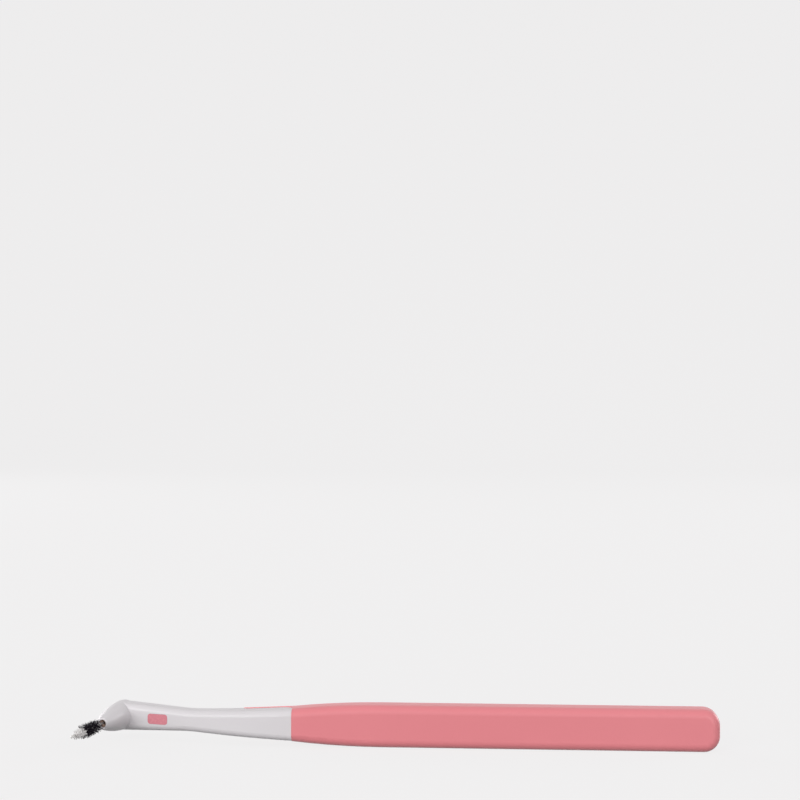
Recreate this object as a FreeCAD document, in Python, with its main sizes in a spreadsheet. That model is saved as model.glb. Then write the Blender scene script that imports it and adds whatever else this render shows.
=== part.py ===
import FreeCAD, Part
import os
from math import atan2, cos, hypot, pi, sin

import Sketcher

# Interdental brush: a two-shot moulded handle with an angled head and a twisted-wire brush.
# Every body is drawn about the seam between the two mouldings: x runs along the handle from the seam
# to its end, the front face looks along -y, and z = 0 is the plane that the two halves mirror in.
# Its placement then sets the brush down on one narrow side, with the origin under the middle of that flat.

# Driving dimensions, in millimetres and degrees
SIZES = {
    # Grip
    "grip_length": 103.4,
    "grip_width": 10.3,
    "grip_thickness": 7.3,
    "grip_edge_radius": 2,
    "end_corner_radius": 3.9,
    "shoulder_length": 22,
    "seam_width": 8,
    "grip_step": 0.15,
    # Parting line between the two mouldings
    "panel_depth": 5.1,
    "parting_radius": 2.6,
    "tongue_length": 12.8,
    "tongue_tip_radius": 1.8,
    "moulded_gap": 0.03,
    # Neck
    "neck_lean": 15.5,
    "neck_front_radius": 86,
    "neck_back_radius": 74,
    "back_flat_length": 7,
    "neck_taper": 2.8,
    "neck_edge_radius": 1.5,
    "waist_width": 5.3,
    "waist_radius": 60,
    # Head and nozzle
    "head_distance": 44.4,
    "head_width": 7,
    "head_radius": 3.6,
    "head_round": 1.4,
    "brush_lean": 10.5,
    "nozzle_length": 12.4,
    "nozzle_radius": 1.45,
    "nozzle_rim_radius": 0.25,
    "recess_radius": 1,
    "recess_depth": 1.8,
    # Tang inside the grip
    "tang_length": 94,
    "tang_root": 8,
    "tang_width": 5.2,
    "tang_thickness": 3,
    "tang_offset": 0.9,
    "lock_hole_radius": 1.2,
    "lock_hole_spacing": 24,
    # Colour inlay
    "inlay_distance": 34.4,
    "inlay_length": 5.4,
    "inlay_width": 2.5,
    "inlay_corner_radius": 0.7,
    "inlay_depth": 0.8,
    "inlay_gap": 0.03,
    # Wire and filaments
    "wire_length": 17,
    "wire_root": 4,
    "strand_radius": 0.15,
    "wire_lead": 3,
    "wire_bore_gap": 0.05,
    "plug_length": 0.75,
    "plug_gap": 0.02,
    "filament_radius": 0.05,
    "filament_gap": 0.01,
    "filament_pitch": 0.12,
    "bare_length": 3.4,
    "black_length": 6.4,
    "black_diameter": 3.6,
    "white_length": 5.8,
    "white_diameter": 2.8,
    "white_tip_diameter": 1.3,
}
LOCK_HOLES = 3
STRAND_SIDES = 6
CUT_MARGIN = 2

doc = FreeCAD.newDocument("interdental_brush")
sheet = doc.addObject("Spreadsheet::Sheet", "Sizes")
for row, (alias, number) in enumerate(SIZES.items(), start=1):
    sheet.set(f"A{row}", alias)
    sheet.set(f"B{row}", str(number))
    sheet.setAlias(f"B{row}", alias)
doc.recompute()

# Lengths worked out from the sheet, shared by the sketches and placements
HALF_THICKNESS = "(Sizes.grip_thickness / 2)"
HALF_WIDTH = "(Sizes.grip_width / 2)"
NECK_HALF_THICKNESS = f"({HALF_THICKNESS} - Sizes.grip_step)"
NECK_HALF_SEAM = "(Sizes.seam_width / 2 - Sizes.grip_step)"
FRONT_BEND = "(Sizes.moulded_gap + Sizes.neck_front_radius * sin(Sizes.neck_lean))"
BACK_BEND = "(Sizes.back_flat_length + Sizes.neck_back_radius * sin(Sizes.neck_lean))"
END_X = "((Sizes.grip_length - Sizes.shoulder_length + Sizes.end_corner_radius) / 2)"
SEAM_X = f"({END_X} - Sizes.grip_length)"
PARTING_Y = f"(Sizes.panel_depth - {HALF_THICKNESS})"
BEND_RISE = "(1 - cos(Sizes.neck_lean))"
FRONT_AT_BEND = f"(Sizes.neck_front_radius * {BEND_RISE} - {NECK_HALF_THICKNESS})"
BACK_AT_BEND = f"({NECK_HALF_THICKNESS} + Sizes.neck_back_radius * {BEND_RISE})"
FRONT_AT_HEAD = f"({FRONT_AT_BEND} + (Sizes.head_distance - {FRONT_BEND}) * tan(Sizes.neck_lean))"
BACK_AT_HEAD = f"({BACK_AT_BEND} + (Sizes.head_distance - {BACK_BEND}) * tan(Sizes.neck_lean))"
HEAD_Y = f"(({FRONT_AT_HEAD} + {BACK_AT_HEAD}) / 2)"
INLAY_Y = f"({FRONT_AT_BEND} + (Sizes.inlay_distance - {FRONT_BEND}) * tan(Sizes.neck_lean))"
STRAND_OFFSET = "(Sizes.strand_radius + Sizes.filament_radius + Sizes.filament_gap)"
WIRE_RADIUS = f"({STRAND_OFFSET} + Sizes.strand_radius)"
BORE_RADIUS = f"({WIRE_RADIUS} + Sizes.wire_bore_gap)"
BORE_DEPTH = "(Sizes.wire_root + Sizes.wire_bore_gap)"
LEG_HEIGHT = "(Sizes.wire_length + Sizes.wire_root)"
LEG_TURN = f"(360 * {LEG_HEIGHT} / Sizes.wire_lead)"
NOZZLE_X = f"({SEAM_X} - Sizes.head_distance - Sizes.nozzle_length * sin(Sizes.brush_lean))"
NOZZLE_Y = f"({HEAD_Y} - Sizes.nozzle_length * cos(Sizes.brush_lean))"

HEAD_BACK = f"(({BACK_AT_HEAD} - {FRONT_AT_HEAD}) / 2 * cos(Sizes.neck_lean))"
TAPER_RUN = (
    f"(({NECK_HALF_SEAM} - Sizes.waist_width / 2 - Sizes.waist_radius * (1 - cos(Sizes.neck_taper)))"
    " / tan(Sizes.neck_taper))"
)

# Placements: the mouldings stand about the seam, the brush about the nozzle's end with z along the wire
SEAM_PLACEMENT = (
    f"create(<<placement>>; create(<<vector>>; {SEAM_X}; 0; {HALF_WIDTH}); "
    "create(<<rotation>>; 0; 0; 0))"
)
BRUSH_PLACEMENT = (
    f"create(<<placement>>; create(<<vector>>; {NOZZLE_X}; {NOZZLE_Y}; {HALF_WIDTH}); "
    "create(<<rotation>>; -Sizes.brush_lean; 0; 90))"
)
INLAY_PLACEMENT = (
    f"create(<<placement>>; create(<<vector>>; {SEAM_X} - Sizes.inlay_distance; {INLAY_Y}; {HALF_WIDTH}); "
    "create(<<rotation>>; -Sizes.neck_lean; 0; 90))"
)

# Sketch planes away from a body's origin: the tang's middle, the inlay's face and the brush's axis
TANG_PLANE = (
    "create(<<placement>>; create(<<vector>>; 0; 0; Sizes.tang_offset); "
    "create(<<rotation>>; 0; 0; 0))"
)
INLAY_PLANE = (
    f"create(<<placement>>; create(<<vector>>; -Sizes.inlay_distance; 0; -{INLAY_Y}); "
    "create(<<rotation>>; 0; -Sizes.neck_lean; 0))"
)
HEAD_AXIS = (
    f"create(<<placement>>; create(<<vector>>; -Sizes.head_distance; {HEAD_Y}; 0); "
    "create(<<rotation>>; 180 - Sizes.brush_lean; 0; 0))"
)


def value(expression):
    """Number that an expression on the sheet gives now."""
    result = sheet.evalExpression(expression)
    return float(getattr(result, "Value", result))


def new_body(name, placement):
    """Body whose placement follows an expression."""
    body = doc.addObject("PartDesign::Body", name)
    body.Label = name
    body.setExpression("Placement", placement)
    return body


def new_sketch(body, name, role, offset=None):
    """Sketch on one of the body's own origin planes, moved in that plane's frame by an expression."""
    sketch = body.newObject("Sketcher::SketchObject", name)
    origin_planes = {feature.Role: feature for feature in body.Origin.OriginFeatures}
    sketch.AttachmentSupport = [(origin_planes[role], "")]
    sketch.MapMode = "FlatFace"
    if offset:
        sketch.setExpression("AttachmentOffset", offset)
    return sketch


def vector(point):
    """Sketch point as a vector."""
    return FreeCAD.Vector(point[0], point[1], 0)


def line(first, last):
    """Straight side of a loop."""
    return Part.LineSegment(vector(first), vector(last)), 1, 2


def arc(centre, first, last, anticlockwise=True):
    """Round side of a loop, walked from first to last."""
    radius = hypot(first[0] - centre[0], first[1] - centre[1])
    circle = Part.Circle(vector(centre), FreeCAD.Vector(0, 0, 1), radius)
    angles = [atan2(point[1] - centre[1], point[0] - centre[0]) for point in (first, last)]
    if not anticlockwise:
        angles.reverse()
    if angles[1] <= angles[0]:
        angles[1] += 2 * pi
    ends = (1, 2) if anticlockwise else (2, 1)
    return Part.ArcOfCircle(circle, *angles), *ends


def add_loop(sketch, sides, smooth=()):
    """Closed loop of sides. Each side runs smoothly into the next where its number is in smooth.

    Returns the sides as (geometry number, start, end), as constraints name them.
    """
    ends = [(sketch.addGeometry(shape, False), first, last) for shape, first, last in sides]
    for number, side in enumerate(ends):
        after = ends[(number + 1) % len(ends)]
        kind = "Tangent" if number in smooth else "Coincident"
        sketch.addConstraint(Sketcher.Constraint(kind, side[0], side[2], after[0], after[1]))
    return ends


def direct(sketch, kind, sides):
    """Makes sides horizontal or vertical."""
    for side in sides:
        sketch.addConstraint(Sketcher.Constraint(kind, side[0]))


def drive(sketch, kind, places, expression):
    """Dimension bound to an expression on the sheet."""
    index = sketch.addConstraint(Sketcher.Constraint(kind, *places, value(expression)))
    sketch.setExpression(f"Constraints[{index}]", expression)


ORIGIN = (-1, 1)
X_AXIS, Y_AXIS = (-1, -2)
TOUCH = 0.001


def start_of(side):
    """Start of a side, as constraints name it."""
    return side[0], side[1]


def hold(sketch, place, axis):
    """Keeps a point on an axis of the sketch."""
    sketch.addConstraint(Sketcher.Constraint("PointOnObject", *place, axis))


def pad(body, name, sketch, length):
    """Pad that reaches as far to each side of its sketch."""
    feature = body.newObject("PartDesign::Pad", name)
    feature.Profile = sketch
    feature.SideType = "Symmetric"
    feature.setExpression("Length", length)
    return feature


def pocket(body, name, sketch, depth):
    """Pocket that reaches as far to each side of its sketch."""
    feature = body.newObject("PartDesign::Pocket", name)
    feature.Profile = sketch
    feature.SideType = "Symmetric"
    feature.setExpression("Length", depth)
    return feature


def mirror(body, name, original):
    """Repeats a cut on the other side of the mirror plane."""
    feature = body.newObject("PartDesign::Mirrored", name)
    feature.Originals = [original]
    origin_planes = {plane.Role: plane for plane in body.Origin.OriginFeatures}
    feature.MirrorPlane = (origin_planes["XY_Plane"], [""])
    body.Tip = feature
    return feature


def revolve(body, kind, name, sketch):
    """Revolution or Groove about the sketch's vertical axis."""
    feature = body.newObject(f"PartDesign::{kind}", name)
    feature.Profile = sketch
    feature.ReferenceAxis = (sketch, ["V_Axis"])
    feature.Angle = 360
    return feature


def fillet(body, name, base, edges, radius):
    """Fillet on the named edges of a feature."""
    feature = body.newObject("PartDesign::Fillet", name)
    feature.Base = (base, edges)
    feature.setExpression("Radius", radius)
    return feature


def edges_along(feature, sketch, sides):
    """Names of the edges that run along the given sides of a sketch on the XY plane."""
    outlines = [sketch.Geometry[side[0]].toShape() for side in sides]
    names = []
    for number, edge in enumerate(feature.Shape.Edges, start=1):
        middle = edge.valueAt((edge.FirstParameter + edge.LastParameter) / 2)
        run = edge.tangentAt((edge.FirstParameter + edge.LastParameter) / 2)
        spot = Part.Vertex(middle.x, middle.y, 0)
        if hypot(run.x, run.y) > TOUCH and any(outline.distToShape(spot)[0] < TOUCH for outline in outlines):
            names.append(f"Edge{number}")
    return names


def edges_across(feature, x, y):
    """Names of the edges that run straight across the handle at one place."""
    names = []
    for number, edge in enumerate(feature.Shape.Edges, start=1):
        places = [vertex.Point for vertex in edge.Vertexes]
        if all(hypot(place.x - x, place.y - y) < TOUCH for place in places):
            names.append(f"Edge{number}")
    return names


# Grip: the pink second shot

def draw_grip_side(sketch):
    """Side view of the grip with its tongue up the back of the neck. Returns its front and back sides."""
    half = value(HALF_THICKNESS)
    parting = value(PARTING_Y)
    tongue = value("Sizes.tongue_length")
    tip = value("Sizes.tongue_tip_radius")
    flat = value("Sizes.back_flat_length")
    radius = value("Sizes.neck_back_radius")
    far = value("Sizes.grip_length") + CUT_MARGIN
    tongue_back = half + radius - (radius ** 2 - (tongue - flat) ** 2) ** 0.5
    front, seam, parting_line, tip_arc, tip_line, bend, back, end = add_loop(
        sketch,
        [
            line((far, -half), (0, -half)),
            line((0, -half), (0, parting)),
            line((0, parting), (tip - tongue, parting)),
            arc((tip - tongue, parting + tip), (tip - tongue, parting), (-tongue, parting + tip), False),
            line((-tongue, parting + tip), (-tongue, tongue_back)),
            arc((-flat, half + radius), (-tongue, tongue_back), (-flat, half)),
            line((-flat, half), (far, half)),
            line((far, half), (far, -half)),
        ],
        smooth=(2, 3, 5),
    )
    direct(sketch, "Horizontal", (front, parting_line, back))
    direct(sketch, "Vertical", (seam, tip_line, end))
    hold(sketch, start_of(seam), Y_AXIS)
    drive(sketch, "DistanceY", (*start_of(seam), *ORIGIN), HALF_THICKNESS)
    drive(sketch, "DistanceY", (*start_of(seam), *start_of(parting_line)), "Sizes.panel_depth")
    drive(sketch, "DistanceX", (*start_of(tip_line), *ORIGIN), "Sizes.tongue_length")
    drive(sketch, "Radius", (tip_arc[0],), "Sizes.tongue_tip_radius")
    drive(sketch, "Radius", (bend[0],), "Sizes.neck_back_radius")
    drive(sketch, "DistanceX", (*start_of(back), *ORIGIN), "Sizes.back_flat_length")
    drive(sketch, "DistanceY", (*ORIGIN, *start_of(back)), HALF_THICKNESS)
    drive(sketch, "DistanceX", (*ORIGIN, *start_of(front)), f"Sizes.grip_length + {CUT_MARGIN}")
    return front, bend, back


def draw_grip_outline(sketch):
    """Waste above the grip in front view: tongue, shoulder, straight handle and round end corner."""
    seam = value("Sizes.seam_width") / 2
    half = value(HALF_WIDTH)
    shoulder = value("Sizes.shoulder_length")
    length = value("Sizes.grip_length")
    corner = value("Sizes.end_corner_radius")
    left = -value("Sizes.tongue_length") - CUT_MARGIN
    left_height = seam + left * value("tan(Sizes.neck_taper)")
    rise = half - seam
    shoulder_radius = (shoulder ** 2 + rise ** 2) / (2 * rise)
    top = half + CUT_MARGIN
    right = length + CUT_MARGIN
    taper, shoulder_arc, straight, corner_arc, end, under, side, lid, left_side = add_loop(
        sketch,
        [
            line((left, left_height), (0, seam)),
            arc((shoulder, half - shoulder_radius), (0, seam), (shoulder, half), False),
            line((shoulder, half), (length - corner, half)),
            arc((length - corner, half - corner), (length - corner, half), (length, half - corner), False),
            line((length, half - corner), (length, 0)),
            line((length, 0), (right, 0)),
            line((right, 0), (right, top)),
            line((right, top), (left, top)),
            line((left, top), (left, left_height)),
        ],
        smooth=(1, 2, 3),
    )
    direct(sketch, "Horizontal", (straight, lid))
    direct(sketch, "Vertical", (end, side, left_side))
    hold(sketch, start_of(shoulder_arc), Y_AXIS)
    hold(sketch, start_of(under), X_AXIS)
    hold(sketch, start_of(side), X_AXIS)
    drive(sketch, "Angle", (taper[0],), "Sizes.neck_taper")
    drive(sketch, "DistanceX", (*start_of(taper), *ORIGIN), f"Sizes.tongue_length + {CUT_MARGIN}")
    drive(sketch, "DistanceY", (*ORIGIN, *start_of(shoulder_arc)), "Sizes.seam_width / 2")
    drive(sketch, "DistanceX", (*ORIGIN, *start_of(straight)), "Sizes.shoulder_length")
    drive(sketch, "DistanceY", (*ORIGIN, *start_of(straight)), HALF_WIDTH)
    drive(sketch, "Radius", (corner_arc[0],), "Sizes.end_corner_radius")
    drive(sketch, "DistanceX", (*ORIGIN, *start_of(under)), "Sizes.grip_length")
    drive(sketch, "DistanceX", (*ORIGIN, *start_of(side)), f"Sizes.grip_length + {CUT_MARGIN}")
    drive(sketch, "DistanceY", (*ORIGIN, *start_of(lid)), f"{HALF_WIDTH} + {CUT_MARGIN}")


def draw_tang(sketch, allowance):
    """Front view of the tang, or of its cavity when it is grown by an allowance, with the lock holes."""
    root = value("Sizes.tang_root")
    half = value("Sizes.tang_width") / 2 + value(allowance)
    run = value("Sizes.tang_length - Sizes.tang_width / 2")
    lower, end, upper, start = add_loop(
        sketch,
        [
            line((-root, -half), (run, -half)),
            arc((run, 0), (run, -half), (run, half)),
            line((run, half), (-root, half)),
            line((-root, half), (-root, -half)),
        ],
        smooth=(0, 1),
    )
    direct(sketch, "Horizontal", (lower, upper))
    direct(sketch, "Vertical", (start,))
    hold(sketch, (end[0], 3), X_AXIS)
    drive(sketch, "Radius", (end[0],), f"Sizes.tang_width / 2 + {allowance}")
    drive(sketch, "DistanceX", (*ORIGIN, end[0], 3), "Sizes.tang_length - Sizes.tang_width / 2")
    drive(sketch, "DistanceX", (*start_of(lower), *ORIGIN), "Sizes.tang_root")
    for number in range(1, LOCK_HOLES + 1):
        place = f"{number} * Sizes.lock_hole_spacing"
        radius = f"Sizes.lock_hole_radius - {allowance}"
        hole = sketch.addGeometry(
            Part.Circle(FreeCAD.Vector(value(place), 0, 0), FreeCAD.Vector(0, 0, 1), value(radius)), False
        )
        hold(sketch, (hole, 3), X_AXIS)
        drive(sketch, "DistanceX", (*ORIGIN, hole, 3), place)
        drive(sketch, "Radius", (hole,), radius)


def make_grip():
    """Overmoulded grip around the tang."""
    body = new_body("grip", SEAM_PLACEMENT)
    side = new_sketch(body, "grip_side", "XY_Plane")
    faces = draw_grip_side(side)
    pad(body, "grip_pad", side, f"Sizes.grip_width + {CUT_MARGIN}")
    outline = new_sketch(body, "grip_outline", "XZ_Plane")
    draw_grip_outline(outline)
    waste = pocket(body, "grip_outline_cut", outline, "3 * Sizes.grip_thickness")
    shaped = mirror(body, "grip_outline_mirrored", waste)
    doc.recompute()
    edges = edges_along(shaped, side, faces)
    rounded = fillet(body, "grip_edges", shaped, edges, "Sizes.grip_edge_radius")
    doc.recompute()
    corner = edges_across(rounded, 0, value(PARTING_Y))
    fillet(body, "parting_corner", rounded, corner, "Sizes.parting_radius + Sizes.moulded_gap")
    cavity = new_sketch(body, "tang_cavity", "XZ_Plane", TANG_PLANE)
    draw_tang(cavity, "Sizes.moulded_gap")
    pocket(body, "tang_cavity_cut", cavity, "Sizes.tang_thickness + 2 * Sizes.moulded_gap")
    doc.recompute()
    return body


# Handle core: the white first shot

def draw_core_side(sketch):
    """Side view of the neck, which bends back from the seam to the head. Returns its front and back sides."""
    half = value(NECK_HALF_THICKNESS)
    gap = value("Sizes.moulded_gap")
    flat = value("Sizes.back_flat_length")
    front_radius = value("Sizes.neck_front_radius")
    back_radius = value("Sizes.neck_back_radius")
    front_bend = (-value(FRONT_BEND), value(FRONT_AT_BEND))
    back_bend = (-value(BACK_BEND), value(BACK_AT_BEND))
    head = (-value("Sizes.head_distance"), value(HEAD_Y))
    reach = value(HEAD_BACK)
    across = (value("sin(Sizes.neck_lean)"), value("cos(Sizes.neck_lean)"))
    front_end = (head[0] - reach * across[0], head[1] - reach * across[1])
    back_end = (head[0] + reach * across[0], head[1] + reach * across[1])
    front_arc, front, cap, back, back_arc, back_flat, seam = add_loop(
        sketch,
        [
            arc((-gap, front_radius - half), (-gap, -half), front_bend, False),
            line(front_bend, front_end),
            line(front_end, back_end),
            line(back_end, back_bend),
            arc((-flat, half + back_radius), back_bend, (-flat, half)),
            line((-flat, half), (-gap, half)),
            line((-gap, half), (-gap, -half)),
        ],
        smooth=(0, 3, 4),
    )
    direct(sketch, "Horizontal", (back_flat,))
    direct(sketch, "Vertical", (seam,))
    sketch.addConstraint(Sketcher.Constraint("Perpendicular", front[0], cap[0]))
    sketch.addConstraint(Sketcher.Constraint("Vertical", front_arc[0], 3, *start_of(front_arc)))
    drive(sketch, "DistanceX", (*start_of(front_arc), *ORIGIN), "Sizes.moulded_gap")
    drive(sketch, "DistanceY", (*start_of(front_arc), *ORIGIN), NECK_HALF_THICKNESS)
    drive(sketch, "Radius", (front_arc[0],), "Sizes.neck_front_radius")
    drive(sketch, "DistanceX", (*start_of(front), *ORIGIN), FRONT_BEND)
    drive(sketch, "Radius", (back_arc[0],), "Sizes.neck_back_radius")
    drive(sketch, "DistanceX", (*start_of(back_arc), *ORIGIN), BACK_BEND)
    drive(sketch, "DistanceX", (*start_of(back_flat), *ORIGIN), "Sizes.back_flat_length")
    drive(sketch, "DistanceY", (*ORIGIN, *start_of(back_flat)), NECK_HALF_THICKNESS)
    centre = sketch.addGeometry(Part.Point(vector(head)), True)
    sketch.addConstraint(Sketcher.Constraint("Symmetric", *start_of(cap), *start_of(back), centre, 1))
    drive(sketch, "DistanceX", (centre, 1, *ORIGIN), "Sizes.head_distance")
    return front_arc, front, back, back_arc, back_flat


def draw_core_outline(sketch):
    """Waste above the neck in front view: a taper to the waist and a flare to the head."""
    seam = value(NECK_HALF_SEAM)
    waist = value("Sizes.waist_width") / 2
    radius = value("Sizes.waist_radius")
    taper_slope = value("tan(Sizes.neck_taper)")
    taper_end_height = waist + radius * value("1 - cos(Sizes.neck_taper)")
    taper_end = ((taper_end_height - seam) / taper_slope, taper_end_height)
    waist_centre = (taper_end[0] - radius * value("sin(Sizes.neck_taper)"), waist + radius)
    head = (-value("Sizes.head_distance"), value("Sizes.head_width") / 2)
    flare = head[1] - waist
    flare_start = (waist_centre[0] - flare, waist)
    left = head[0] - value("Sizes.head_radius")
    left_height = head[1] + flare / 2
    top = value(HALF_WIDTH) + CUT_MARGIN
    taper, waist_arc, flare_line, left_side, lid, right_side = add_loop(
        sketch,
        [
            line((0, seam), taper_end),
            arc(waist_centre, taper_end, flare_start, False),
            line(flare_start, (left, left_height)),
            line((left, left_height), (left, top)),
            line((left, top), (0, top)),
            line((0, top), (0, seam)),
        ],
        smooth=(0, 1),
    )
    direct(sketch, "Horizontal", (lid,))
    direct(sketch, "Vertical", (left_side, right_side))
    hold(sketch, start_of(taper), Y_AXIS)
    drive(sketch, "DistanceY", (*ORIGIN, *start_of(taper)), NECK_HALF_SEAM)
    drive(sketch, "Radius", (waist_arc[0],), "Sizes.waist_radius")
    drive(sketch, "DistanceY", (*ORIGIN, waist_arc[0], 3), "Sizes.waist_width / 2 + Sizes.waist_radius")
    drive(sketch, "DistanceX", (*start_of(waist_arc), *ORIGIN), TAPER_RUN)
    mark = sketch.addGeometry(Part.Point(vector(head)), True)
    hold(sketch, (mark, 1), flare_line[0])
    drive(sketch, "DistanceX", (mark, 1, *ORIGIN), "Sizes.head_distance")
    drive(sketch, "DistanceY", (*ORIGIN, mark, 1), "Sizes.head_width / 2")
    drive(sketch, "DistanceX", (*start_of(left_side), *ORIGIN), "Sizes.head_distance + Sizes.head_radius")
    drive(sketch, "DistanceY", (*ORIGIN, *start_of(lid)), f"{HALF_WIDTH} + {CUT_MARGIN}")


def draw_tongue_seat(sketch):
    """Side view of the seat that the grip's tongue fills, wider by the moulded gap."""
    gap = value("Sizes.moulded_gap")
    floor = value(PARTING_Y) - gap
    tip = value("Sizes.tongue_tip_radius") + gap
    end = -value("Sizes.tongue_length") - gap
    top = value(HALF_THICKNESS) + CUT_MARGIN
    floor_line, tip_arc, end_line, lid, right_side = add_loop(
        sketch,
        [
            line((0, floor), (end + tip, floor)),
            arc((end + tip, floor + tip), (end + tip, floor), (end, floor + tip), False),
            line((end, floor + tip), (end, top)),
            line((end, top), (0, top)),
            line((0, top), (0, floor)),
        ],
        smooth=(0, 1),
    )
    direct(sketch, "Horizontal", (floor_line, lid))
    direct(sketch, "Vertical", (end_line, right_side))
    hold(sketch, start_of(floor_line), Y_AXIS)
    drive(sketch, "DistanceY", (*ORIGIN, *start_of(floor_line)), f"{PARTING_Y} - Sizes.moulded_gap")
    drive(sketch, "Radius", (tip_arc[0],), "Sizes.tongue_tip_radius + Sizes.moulded_gap")
    drive(sketch, "DistanceX", (*start_of(end_line), *ORIGIN), "Sizes.tongue_length + Sizes.moulded_gap")
    drive(sketch, "DistanceY", (*ORIGIN, *start_of(lid)), f"{HALF_THICKNESS} + {CUT_MARGIN}")


def draw_head(sketch):
    """Half section of the round-backed head and its arched nozzle, with the brush's axis upright."""
    radius = value("Sizes.head_radius")
    back = -value(HEAD_BACK)
    bend = value("Sizes.head_round")
    length = value("Sizes.nozzle_length")
    mouth = value("Sizes.nozzle_radius")
    widest = back + bend
    narrowing = radius - mouth
    arch_radius = ((length - widest) ** 2 + narrowing ** 2) / (2 * narrowing)
    flat, round_edge, arch, rim, axis = add_loop(
        sketch,
        [
            line((0, back), (radius - bend, back)),
            arc((radius - bend, widest), (radius - bend, back), (radius, widest)),
            arc((radius - arch_radius, widest), (radius, widest), (mouth, length)),
            line((mouth, length), (0, length)),
            line((0, length), (0, back)),
        ],
        smooth=(0, 1),
    )
    direct(sketch, "Horizontal", (flat, rim))
    direct(sketch, "Vertical", (axis,))
    hold(sketch, start_of(axis), Y_AXIS)
    sketch.addConstraint(Sketcher.Constraint("Horizontal", round_edge[0], 3, *start_of(arch)))
    drive(sketch, "DistanceY", (*start_of(flat), *ORIGIN), HEAD_BACK)
    drive(sketch, "Radius", (round_edge[0],), "Sizes.head_round")
    drive(sketch, "DistanceX", (*ORIGIN, round_edge[0], 3), "Sizes.head_radius - Sizes.head_round")
    drive(sketch, "DistanceY", (*ORIGIN, *start_of(rim)), "Sizes.nozzle_length")
    drive(sketch, "DistanceX", (*ORIGIN, *start_of(rim)), "Sizes.nozzle_radius")


def draw_bore(sketch):
    """Half section of the nozzle's recess and of the bore for the wire's root."""
    mouth = value("Sizes.nozzle_length")
    recess = value("Sizes.recess_radius")
    bore = value(BORE_RADIUS)
    floor = mouth - value("Sizes.recess_depth")
    bottom = mouth - value(BORE_DEPTH)
    lid, wall, shelf, bore_wall, bore_floor, axis = add_loop(
        sketch,
        [
            line((0, mouth + CUT_MARGIN), (recess, mouth + CUT_MARGIN)),
            line((recess, mouth + CUT_MARGIN), (recess, floor)),
            line((recess, floor), (bore, floor)),
            line((bore, floor), (bore, bottom)),
            line((bore, bottom), (0, bottom)),
            line((0, bottom), (0, mouth + CUT_MARGIN)),
        ],
    )
    direct(sketch, "Horizontal", (lid, shelf, bore_floor))
    direct(sketch, "Vertical", (wall, bore_wall, axis))
    hold(sketch, start_of(lid), Y_AXIS)
    drive(sketch, "DistanceX", (*ORIGIN, *start_of(wall)), "Sizes.recess_radius")
    drive(sketch, "DistanceX", (*ORIGIN, *start_of(bore_wall)), BORE_RADIUS)
    drive(sketch, "DistanceY", (*ORIGIN, *start_of(lid)), f"Sizes.nozzle_length + {CUT_MARGIN}")
    drive(sketch, "DistanceY", (*ORIGIN, *start_of(shelf)), "Sizes.nozzle_length - Sizes.recess_depth")
    drive(sketch, "DistanceY", (*ORIGIN, *start_of(bore_floor)), f"Sizes.nozzle_length - {BORE_DEPTH}")


def draw_inlay(sketch, allowance):
    """Rounded rectangle of the inlay, or of its pocket when it is grown by an allowance."""
    grow = value(allowance)
    long = value("Sizes.inlay_length") / 2 + grow
    wide = value("Sizes.inlay_width") / 2 + grow
    corner = value("Sizes.inlay_corner_radius") + grow
    sides = []
    corners = [(1, -1), (1, 1), (-1, 1), (-1, -1)]
    marks = []
    for sign_x, sign_y in corners:
        centre = (sign_x * (long - corner), sign_y * (wide - corner))
        onto_x = (centre[0], sign_y * wide)
        onto_y = (sign_x * long, centre[1])
        marks.append((centre, onto_x, onto_y) if sign_x * sign_y < 0 else (centre, onto_y, onto_x))
    for number, (centre, first, last) in enumerate(marks):
        sides.append(arc(centre, first, last))
        sides.append(line(last, marks[(number + 1) % len(marks)][1]))
    loop = add_loop(sketch, sides, smooth=range(len(sides)))
    arcs = loop[0::2]
    right, top, left, bottom = loop[1::2]
    direct(sketch, "Vertical", (right, left))
    direct(sketch, "Horizontal", (top, bottom))
    drive(sketch, "Radius", (arcs[0][0],), f"Sizes.inlay_corner_radius + {allowance}")
    for other in arcs[1:]:
        sketch.addConstraint(Sketcher.Constraint("Equal", arcs[0][0], other[0]))
    half_length = f"Sizes.inlay_length / 2 + {allowance}"
    half_width = f"Sizes.inlay_width / 2 + {allowance}"
    drive(sketch, "DistanceX", (*ORIGIN, *start_of(right)), half_length)
    drive(sketch, "DistanceX", (*start_of(left), *ORIGIN), half_length)
    drive(sketch, "DistanceY", (*ORIGIN, *start_of(top)), half_width)
    drive(sketch, "DistanceY", (*start_of(bottom), *ORIGIN), half_width)


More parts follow.
